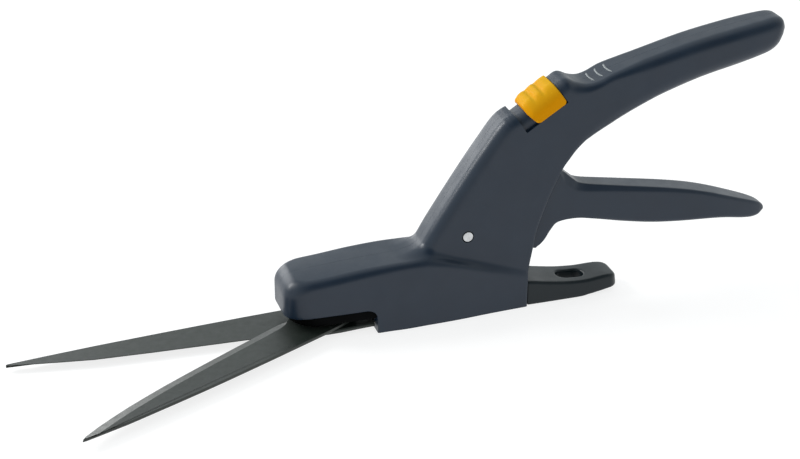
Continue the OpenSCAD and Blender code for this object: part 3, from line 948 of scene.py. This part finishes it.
def blended(tree, share, a, b):
    """Two colours mixed by a share, each a plain colour or another node's output."""
    both = tree.nodes.new("ShaderNodeMix")
    both.data_type = "RGBA"
    tree.links.new(share, both.inputs["Factor"])
    for socket, colour in (("A", a), ("B", b)):
        if isinstance(colour, tuple):
            both.inputs[socket].default_value = (*colour, 1)
        else:
            tree.links.new(colour, both.inputs[socket])
    return both.outputs["Result"]


def bumps(tree, shader, layers):
    """Stacks fine reliefs, each a (height, depth in metres) pair."""
    last = None
    for height, depth in layers:
        bump = tree.nodes.new("ShaderNodeBump")
        bump.inputs["Distance"].default_value = depth
        bump.inputs["Strength"].default_value = 1
        tree.links.new(height, bump.inputs["Height"])
        if last is not None:
            tree.links.new(last, bump.inputs["Normal"])
        last = bump.outputs["Normal"]
    tree.links.new(last, shader.inputs["Normal"])


def edge_wear_and_painted_rim(tree, colour, wear_and_painted_rim, low, high):
    """Lighter colour along edges, broken up by noise: wear on most parts, and on the slide a painted rim
    highlight.
    """
    shape = tree.nodes.new("ShaderNodeNewGeometry")
    edge = ramp(tree, shape.outputs["Pointiness"], low, high, 0.0, 1.0)
    patches = ramp(tree, noise(tree, 900, 4), 0.4, 0.62, 0.0, 0.8)
    patchy = tree.nodes.new("ShaderNodeMath")
    patchy.operation = "MULTIPLY"
    tree.links.new(edge, patchy.inputs[0])
    tree.links.new(patches, patchy.inputs[1])
    return blended(tree, patchy.outputs[0], colour, wear_and_painted_rim)


def uneven(tree, shader, scale, detail, below, rough, above):
    """Roughness that varies from place to place."""
    spread = ramp(tree, noise(tree, scale, detail, 0.6), 0.3, 0.7, rough - below, rough + above)
    tree.links.new(spread, shader.inputs["Roughness"])


def plastic(name, dark, light, wear_and_painted_rim, rough, grain=0.000012, level=0.5, ior=1.5, painted_lit_top=None):
    """Moulded plastic with a fine spark-eroded grain; given a top colour, upward faces get painted light, a
    paler top.
    """
    m, tree, s = nodes_of(name)
    tone = ramp(tree, noise(tree, 60, 4, 0.6), 0.35, 0.65, dark, light)
    edge = (0.58, 0.66)
    if painted_lit_top:
        # painted light: faces turned up are blended towards the paler top colour
        slope = tree.nodes.new("ShaderNodeSeparateXYZ")
        tree.links.new(tree.nodes.new("ShaderNodeNewGeometry").outputs["Normal"], slope.inputs[0])
        tone = blended(tree, ramp(tree, slope.outputs["Z"], 0.15, 1.0, 0.0, 1.0), tone, painted_lit_top)
        # on the slide the pale edge colour reaches further in: a painted rim highlight along its rounded
        # edges
        edge = (0.53, 0.6)
    tree.links.new(edge_wear_and_painted_rim(tree, tone, wear_and_painted_rim, *edge), s.inputs["Base Color"])
    uneven(tree, s, 140, 5, 0.05, rough, 0.06)
    s.inputs["Specular IOR Level"].default_value = level
    s.inputs["IOR"].default_value = ior
    bumps(tree, s, [(noise(tree, 2600, 2, 0.5), grain), (noise(tree, 90, 2, 0.5), 0.00003)])
    return m


def metal(name, dark, light, rough, stretch=(1, 1, 1), scale=900, depth=0.000006, metallic=1.0):
    """Steel, bare or coated, with fine lines from its making along one direction."""
    m, tree, s = nodes_of(name)
    lines = noise(tree, scale, 3, 0.6, stretch)
    tree.links.new(ramp(tree, lines, 0.3, 0.7, dark, light), s.inputs["Base Color"])
    uneven(tree, s, 300, 4, 0.06, rough, 0.08)
    s.inputs["Metallic"].default_value = metallic
    bumps(tree, s, [(lines, depth)])
    return m


def make_materials():
    """Every material by a short name."""
    navy, haze, navy_edge = (0.0014, 0.0108, 0.0268), (0.0024, 0.0132, 0.0308), (0.03, 0.04, 0.052)
    return {
        "shell": plastic("housing_plastic", navy, haze, navy_edge, 0.38),
        "lever": plastic("trigger_plastic", navy, haze, navy_edge, 0.36),
        "dark": plastic(
            "chassis_plastic", (0.0014, 0.0066, 0.0098), (0.0022, 0.0082, 0.012), (0.02, 0.028, 0.032),
            0.36, level=0.36,
        ),
        "black": plastic(
            "pad_plastic", (0.0008, 0.001, 0.0011), (0.0014, 0.0017, 0.0019), (0.004, 0.005, 0.005),
            0.6, level=0.04,
        ),
        # the thumb ribs' pale grey stands in for glints along them: painted highlight
        "rib_glint": plastic("rib_painted_glint", (0.16, 0.18, 0.19), (0.24, 0.26, 0.27), (0.3, 0.32, 0.33), 0.35),
        # painted light on the slide: a paler top colour on its upward faces
        "amber": plastic(
            "slide_plastic", (0.63, 0.255, 0.0006), (0.69, 0.285, 0.001), (0.85, 0.5, 0.02),
            0.42, grain=0.000008, level=0.4, ior=1.11, painted_lit_top=(0.62, 0.345, 0.012),
        ),
        "white": plastic("nylon", (0.72, 0.7, 0.62), (0.8, 0.78, 0.7), (0.85, 0.83, 0.78), 0.45),
        "coat": metal(
            "blade_coating", (0.01, 0.0145, 0.0115), (0.0155, 0.021, 0.0175), 0.42,
            scale=500, depth=0.000004, metallic=0.0,
        ),
        "ground": metal("ground_edge", (0.055, 0.058, 0.055), (0.11, 0.114, 0.11), 0.42, (6, 1, 1)),
        "zinc": metal("zinc_plate", (0.5, 0.51, 0.52), (0.62, 0.63, 0.64), 0.32, scale=700),
        "steel": metal("bar_steel", (0.3, 0.31, 0.32), (0.42, 0.43, 0.44), 0.36, (1, 8, 8)),
        "spring": metal("spring_steel", (0.4, 0.41, 0.42), (0.5, 0.51, 0.52), 0.3, scale=600),
    }


def put(obj, *materials):
    """Gives a piece its materials, and keeps which face has which."""
    mesh = obj.data
    index = np.zeros(len(mesh.polygons), np.int32)
    mesh.polygons.foreach_get("material_index", index)
    mesh.materials.clear()
    for m in materials:
        mesh.materials.append(m)
    mesh.polygons.foreach_set("material_index", index)


def put_on_node(obj, material):
    """Gives a CAD node a better material through its slots."""
    for k in range(len(obj.material_slots)):
        obj.material_slots[k].material = material
    if not obj.material_slots:
        obj.data.materials.append(material)


# ---- floor, lights and camera ----------------------------------------------

FLOOR_HALF = 6
FLOOR_DROP = 0.0001
LIT_AT = (-0.02, 0, 0.05)
CAMERA_AT = (-0.2302, -0.688, 0.3748)
CAMERA_WAY = (0.2663, 0.8657, -0.4239)


def make_floor():
    """A pale floor that is lit from within, so that it comes out as white as the backdrop."""
    bm = bmesh.new()
    bmesh.ops.create_grid(bm, x_segments=1, y_segments=1, size=FLOOR_HALF)
    mesh = bpy.data.meshes.new("floor")
    bm.to_mesh(mesh)
    bm.free()
    floor = bpy.data.objects.new("floor", mesh)
    floor.location.z = -FLOOR_DROP
    bpy.context.scene.collection.objects.link(floor)
    m, tree, s = nodes_of("floor_paper")
    paper = ramp(tree, noise(tree, 40, 2), 0.3, 0.7, (0.24, 0.24, 0.24), (0.26, 0.26, 0.26))
    tree.links.new(paper, s.inputs["Base Color"])
    s.inputs["Roughness"].default_value = 0.9
    s.inputs["Emission Color"].default_value = (1, 1, 1, 1)
    s.inputs["Emission Strength"].default_value = 0.8
    put(floor, m)


def make_sky():
    """A bright studio, darker high up in front of the object."""
    world = bpy.data.worlds.new("studio")
    world.use_nodes = True
    tree = world.node_tree
    sky = tree.nodes["Background"]
    sky.inputs["Color"].default_value = (0.93, 0.985, 1, 1)
    toward = tree.nodes.new("ShaderNodeVectorMath")
    toward.operation = "DOT_PRODUCT"
    toward.inputs[1].default_value = (0.1, -0.7, 0.7)
    tree.links.new(tree.nodes.new("ShaderNodeTexCoord").outputs["Generated"], toward.inputs[0])
    tree.links.new(ramp(tree, toward.outputs["Value"], 0.68, 0.9, 0.95, 0.24), sky.inputs["Strength"])
    bpy.context.scene.world = world


def area(name, place, size, power):
    """A square soft light aimed at the object."""
    light = bpy.data.lights.new(name, "AREA")
    light.energy = power
    light.size = size
    lamp = bpy.data.objects.new(name, light)
    lamp.location = place
    lamp.visible_camera = False
    lamp.rotation_euler = (Vector(LIT_AT) - Vector(place)).to_track_quat("-Z", "Y").to_euler()
    bpy.context.scene.collection.objects.link(lamp)


def make_camera():
    """The photograph's viewpoint."""
    camera = bpy.data.cameras.new("camera")
    camera.lens, camera.sensor_width = 89.1, 36
    camera.clip_start = 0.01
    view = bpy.data.objects.new("camera", camera)
    view.location = CAMERA_AT
    view.rotation_euler = Vector(CAMERA_WAY).to_track_quat("-Z", "Y").to_euler()
    bpy.context.scene.collection.objects.link(view)
    bpy.context.scene.camera = view


# ---- the whole object --------------------------------------------------------


def main():
    """Makes the pieces, gives them to their bodies and nodes, and sets up the picture."""
    looks = make_materials()
    near, far, ribs = make_housing()
    lower, upper = make_blades()
    made = {
        "housing_near": (near, "body", "housing", ["shell"]),
        "housing_far": (far, "body", "housing", ["shell"]),
        "trigger": (make_trigger(), "trigger", "trigger", ["lever"]),
        "chassis": (make_chassis(), "body", "chassis", ["dark", "black"]),
        "lock_slider": (make_slide(), "lock", "slider", ["amber"]),
        "lower_blade": (lower, "body", "blade", ["coat", "ground"]),
        "upper_blade": (upper, "upper_blade", "blade", ["coat", "ground"]),
        "pivot_bolt": (make_bolt(), "body", "zinc", ["zinc"]),
        "trigger_pin": (make_pin(), "body", "pin", ["zinc"]),
        "blade_rivets": (make_rivets(), "body", "zinc", ["steel"]),
        "housing_screws": (make_screws(), "body", "zinc", ["steel"]),
        "return_spring": (make_spring(), "body", "spring_steel", ["spring"]),
    }
    for node, (obj, body, slot, names) in made.items():
        put(obj, *[looks[name] for name in names])
        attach(obj, body)
        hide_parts(node)
    # the thumb ribs get the pale grey of painted highlights
    put(ribs, looks["rib_glint"])
    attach(ribs, "body")
    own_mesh(made["return_spring"][0])
    finishes = {
        "pivot_nut": "zinc", "pivot_washer": "steel", "pivot_spacer": "white", "tang_pin": "zinc",
        "pull_bar": "steel", "pin_clip": "steel", "lever_pin": "zinc", "lock_rod": "steel",
        "lock_spring": "spring",
    }
    for node, name in finishes.items():
        put_on_node(frame["nodes"][node], looks[name])
    make_floor()
    make_sky()
    area("key", (-0.9, 0.5, 0.75), 0.4, 8.5)
    area("fill", (-0.35, 0.95, 0.3), 0.5, 2.4)
    make_camera()
    bpy.context.scene.view_settings.view_transform = "Standard"


main()
